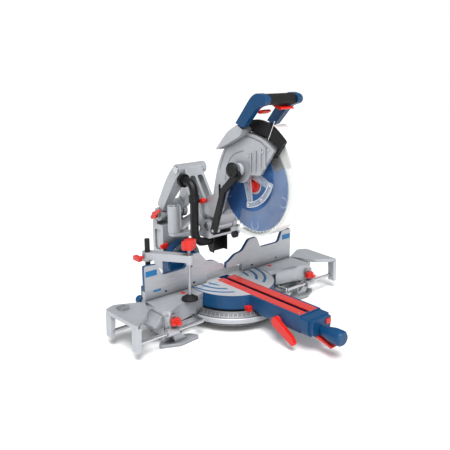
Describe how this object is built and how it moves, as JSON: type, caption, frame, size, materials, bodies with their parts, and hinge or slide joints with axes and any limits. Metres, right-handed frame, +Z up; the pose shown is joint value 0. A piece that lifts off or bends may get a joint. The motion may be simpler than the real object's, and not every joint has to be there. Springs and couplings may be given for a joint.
{
  "type": "mitre saw",
  "caption": "Compound mitre saw with a folding-arm glide, turning table, bevelling head, blade guards, sliding fences, side supports and a work clamp.",
  "frame": {"origin": "middle of the length and depth on the ground plane", "axes": "+Z up, -Y towards the user and the control arm, +X towards the motor side"},
  "size_m": [0.9038, 0.872, 0.7454],
  "materials": {
    "cast_silver": "satin grey paint on castings",
    "bright_face": "brushed bright faces",
    "blue_casting": "blue paint on castings",
    "blue_plastic": "fine grained moulding",
    "red_plastic": "satin moulding",
    "black_plastic": "fine grained moulding",
    "black_rubber": "ribbed soft grip",
    "pin_steel": "plain zinc plated steel",
    "dark_steel": "dark scale with pale marks",
    "blade_steel": "blue coated plate with bright teeth",
    "clear_guard": "clear moulding"
  },
  "bodies": {
    "base": {"base_casting": "cast_silver", "mitre_scale_ring": "dark_steel", "fixed_fence_left": "cast_silver", "fixed_fence_right": "cast_silver", "clamp_post": "dark_steel"},
    "table": {"turntable": "blue_casting", "kerf_plate_left": "red_plastic", "kerf_plate_right": "red_plastic", "arm_end_cap": "blue_plastic", "bevel_scale": "bright_face", "bevel_pivot_pin": "pin_steel"},
    "mitre_knob": {"mitre_lock_knob": "blue_plastic"},
    "detent": {"detent_lever": "red_plastic"},
    "override": {"detent_override_button": "red_plastic"},
    "bevel_lever": {"bevel_lock_lever": "red_plastic"},
    "column": {"bevel_column": "cast_silver", "rear_hinge_pin": "pin_steel"},
    "glide_lock": {"glide_lock_lever": "red_plastic"},
    "rear_link": {"upper_rear_link": "cast_silver", "apex_pin": "pin_steel"},
    "front_link": {"upper_front_link": "cast_silver"},
    "carriage_block": {"carriage": "cast_silver", "front_hinge_pin": "pin_steel", "chop_pin": "pin_steel", "dust_duct": "black_plastic"},
    "lower_rear": {"lower_rear_link": "cast_silver", "elbow_pin": "pin_steel"},
    "lower_front": {"lower_front_link": "cast_silver"},
    "head": {"head_casting": "cast_silver", "upper_guard": "dark_steel", "front_guard": "black_plastic", "motor_housing": "blue_plastic", "handle": "blue_plastic", "grip_sleeve": "black_rubber"},
    "blade": {"saw_blade": "blade_steel", "arbor_shaft": "pin_steel", "arbor_bolt": "red_plastic"},
    "guard": {"lower_guard": "clear_guard", "guard_bracket": "black_plastic"},
    "roller": {"guard_roller": "black_rubber"},
    "guard_rod": {"guard_link": "black_plastic"},
    "trigger_lever": {"trigger": "red_plastic"},
    "lock_off": {"lock_off_button": "red_plastic"},
    "head_lock": {"head_lock_pin": "red_plastic"},
    "dust_outlet": {"dust_elbow": "black_plastic"},
    "fence_left": {"sliding_fence_left": "bright_face"},
    "fence_right": {"sliding_fence_right": "bright_face"},
    "fence_knob_left": {"fence_lock_left": "blue_plastic"},
    "fence_knob_right": {"fence_lock_right": "blue_plastic"},
    "support_left": {"extension_support_left": "cast_silver", "support_rod_left": "pin_steel"},
    "support_right": {"extension_support_right": "cast_silver", "support_rod_right": "pin_steel"},
    "support_lock_left": {"extension_lock_left": "red_plastic"},
    "support_lock_right": {"extension_lock_right": "red_plastic"},
    "stop": {"repeat_stop": "pin_steel"},
    "clamp": {"clamp_arm": "cast_silver"},
    "clamp_knob": {"clamp_lock_knob": "red_plastic"},
    "clamp_screw": {"clamp_spindle": "red_plastic", "clamp_pad": "black_rubber"}
  },
  "joints": [
    {"name": "mitre", "type": "hinge", "parent": "base", "child": "table", "pos_m": [0, 0.042, 0.09], "axis": [0, 0, 1], "range_deg": [-52, 52]},
    {"name": "mitre_lock_turn", "type": "hinge", "parent": "table", "child": "mitre_knob", "pos_m": [0, -0.388, 0.074], "axis": [0, 1, 0], "range_deg": [-90, 90]},
    {"name": "detent_squeeze", "type": "hinge", "parent": "table", "child": "detent", "pos_m": [0, -0.342, 0.055], "axis": [1, 0, 0], "range_deg": [0, 12], "stiffness_Nm_per_rad": 0.4, "springref_deg": -11.46},
    {"name": "override_press", "type": "slide", "parent": "table", "child": "override", "axis": [0, 1, 0], "range_m": [0, 0.004], "stiffness_N_per_m": 400, "springref_m": -0.001},
    {"name": "bevel_lock_lift", "type": "hinge", "parent": "table", "child": "bevel_lever", "pos_m": [-0.05, -0.225, 0.074], "axis": [1, 0, 0], "range_deg": [-50, 10]},
    {"name": "bevel", "type": "hinge", "parent": "table", "child": "column", "pos_m": [0, 0.392, 0.115], "axis": [0, 1, 0], "range_deg": [-31, 31]},
    {"name": "glide_lock_turn", "type": "hinge", "parent": "column", "child": "glide_lock", "pos_m": [-0.069, 0.388, 0.288], "axis": [1, 0, 0], "range_deg": [-40, 20]},
    {"name": "glide", "type": "hinge", "parent": "column", "child": "rear_link", "pos_m": [0, 0.388, 0.288], "axis": [1, 0, 0], "range_deg": [-20, 15]},
    {"name": "apex_fold", "type": "hinge", "parent": "rear_link", "child": "front_link", "pos_m": [0, 0.267, 0.47], "axis": [1, 0, 0], "range_deg": [-30, 40]},
    {"name": "carriage_level", "type": "hinge", "parent": "front_link", "child": "carriage_block", "pos_m": [0, 0.146, 0.288], "axis": [1, 0, 0], "range_deg": [-20, 15]},
    {"name": "lower_rear_swing", "type": "hinge", "parent": "column", "child": "lower_rear", "pos_m": [0.11, 0.388, 0.25], "axis": [0, 0, 1], "range_deg": [-20, 15]},
    {"name": "elbow_fold", "type": "hinge", "parent": "lower_rear", "child": "lower_front", "pos_m": [-0.072, 0.267, 0.25], "axis": [0, 0, 1], "range_deg": [-30, 40]},
    {"name": "chop", "type": "hinge", "parent": "carriage_block", "child": "head", "pos_m": [0, 0.102, 0.302], "axis": [1, 0, 0], "range_deg": [0, 55.7], "stiffness_Nm_per_rad": 20, "springref_deg": -57.3},
    {"name": "blade_spin", "type": "hinge", "parent": "head", "child": "blade", "pos_m": [0, -0.068, 0.463], "axis": [1, 0, 0], "continuous": true},
    {"name": "guard_swing", "type": "hinge", "parent": "head", "child": "guard", "pos_m": [0, -0.044, 0.514], "axis": [1, 0, 0], "range_deg": [-108.7, 0]},
    {"name": "roller_spin", "type": "hinge", "parent": "guard", "child": "roller", "pos_m": [-0.024, 0, 0.291], "axis": [1, 0, 0], "continuous": true},
    {"name": "guard_rod_swing", "type": "hinge", "parent": "carriage_block", "child": "guard_rod", "pos_m": [-0.066, 0.057, 0.298], "axis": [1, 0, 0], "range_deg": [0, 59.9]},
    {"name": "trigger_pull", "type": "hinge", "parent": "head", "child": "trigger_lever", "pos_m": [0, -0.134, 0.716], "axis": [1, 0, 0], "range_deg": [-6, 0], "stiffness_Nm_per_rad": 0.5, "springref_deg": 17.19},
    {"name": "lock_off_slide", "type": "slide", "parent": "head", "child": "lock_off", "axis": [1, 0, 0], "range_m": [0, 0.005], "stiffness_N_per_m": 300, "springref_m": -0.001},
    {"name": "head_lock_slide", "type": "slide", "parent": "head", "child": "head_lock", "axis": [1, 0, 0], "range_m": [0, 0.005]},
    {"name": "outlet_swivel", "type": "hinge", "parent": "carriage_block", "child": "dust_outlet", "pos_m": [-0.086, 0.134, 0.4], "axis": [0, 0, 1], "range_deg": [0, 90]},
    {"name": "fence_slide_left", "type": "slide", "parent": "base", "child": "fence_left", "axis": [-1, 0, 0], "range_m": [0, 0.1]},
    {"name": "fence_knob_turn_left", "type": "hinge", "parent": "base", "child": "fence_knob_left", "pos_m": [-0.321, 0.112, 0.107], "axis": [0, 1, 0], "range_deg": [-90, 90]},
    {"name": "support_slide_left", "type": "slide", "parent": "base", "child": "support_left", "axis": [-1, 0, 0], "range_m": [0, 0.08]},
    {"name": "support_lock_turn_left", "type": "hinge", "parent": "base", "child": "support_lock_left", "pos_m": [-0.301, -0.054, 0.083], "axis": [0, 1, 0], "range_deg": [-8, 8]},
    {"name": "fence_slide_right", "type": "slide", "parent": "base", "child": "fence_right", "axis": [1, 0, 0], "range_m": [0, 0.1]},
    {"name": "fence_knob_turn_right", "type": "hinge", "parent": "base", "child": "fence_knob_right", "pos_m": [0.321, 0.112, 0.107], "axis": [0, 1, 0], "range_deg": [-90, 90]},
    {"name": "support_slide_right", "type": "slide", "parent": "base", "child": "support_right", "axis": [1, 0, 0], "range_m": [0, 0.08]},
    {"name": "support_lock_turn_right", "type": "hinge", "parent": "base", "child": "support_lock_right", "pos_m": [0.301, -0.054, 0.083], "axis": [0, 1, 0], "range_deg": [-8, 8]},
    {"name": "stop_flip", "type": "hinge", "parent": "support_left", "child": "stop", "pos_m": [-0.407, 0.09, 0.117], "axis": [1, 0, 0], "range_deg": [-2, 0]},
    {"name": "clamp_raise", "type": "slide", "parent": "base", "child": "clamp", "axis": [0, 0, 1], "range_m": [0, 0.03]},
    {"name": "clamp_knob_turn", "type": "hinge", "parent": "clamp", "child": "clamp_knob", "pos_m": [-0.31, 0.112, 0.247], "axis": [1, 0, 0], "range_deg": [-90, 90]},
    {"name": "clamp_screw_lift", "type": "slide", "parent": "clamp", "child": "clamp_screw", "axis": [0, 0, 1], "range_m": [0, 0.015]}
  ],
  "couplings": [
    {"joint": "apex_fold", "follows": "glide", "ratio": -2},
    {"joint": "carriage_level", "follows": "glide", "ratio": 1},
    {"joint": "lower_rear_swing", "follows": "glide", "ratio": 1},
    {"joint": "elbow_fold", "follows": "glide", "ratio": -2},
    {"joint": "guard_swing", "follows": "chop", "ratio": -1.95},
    {"joint": "guard_rod_swing", "follows": "chop", "ratio": 1.074}
  ]
}
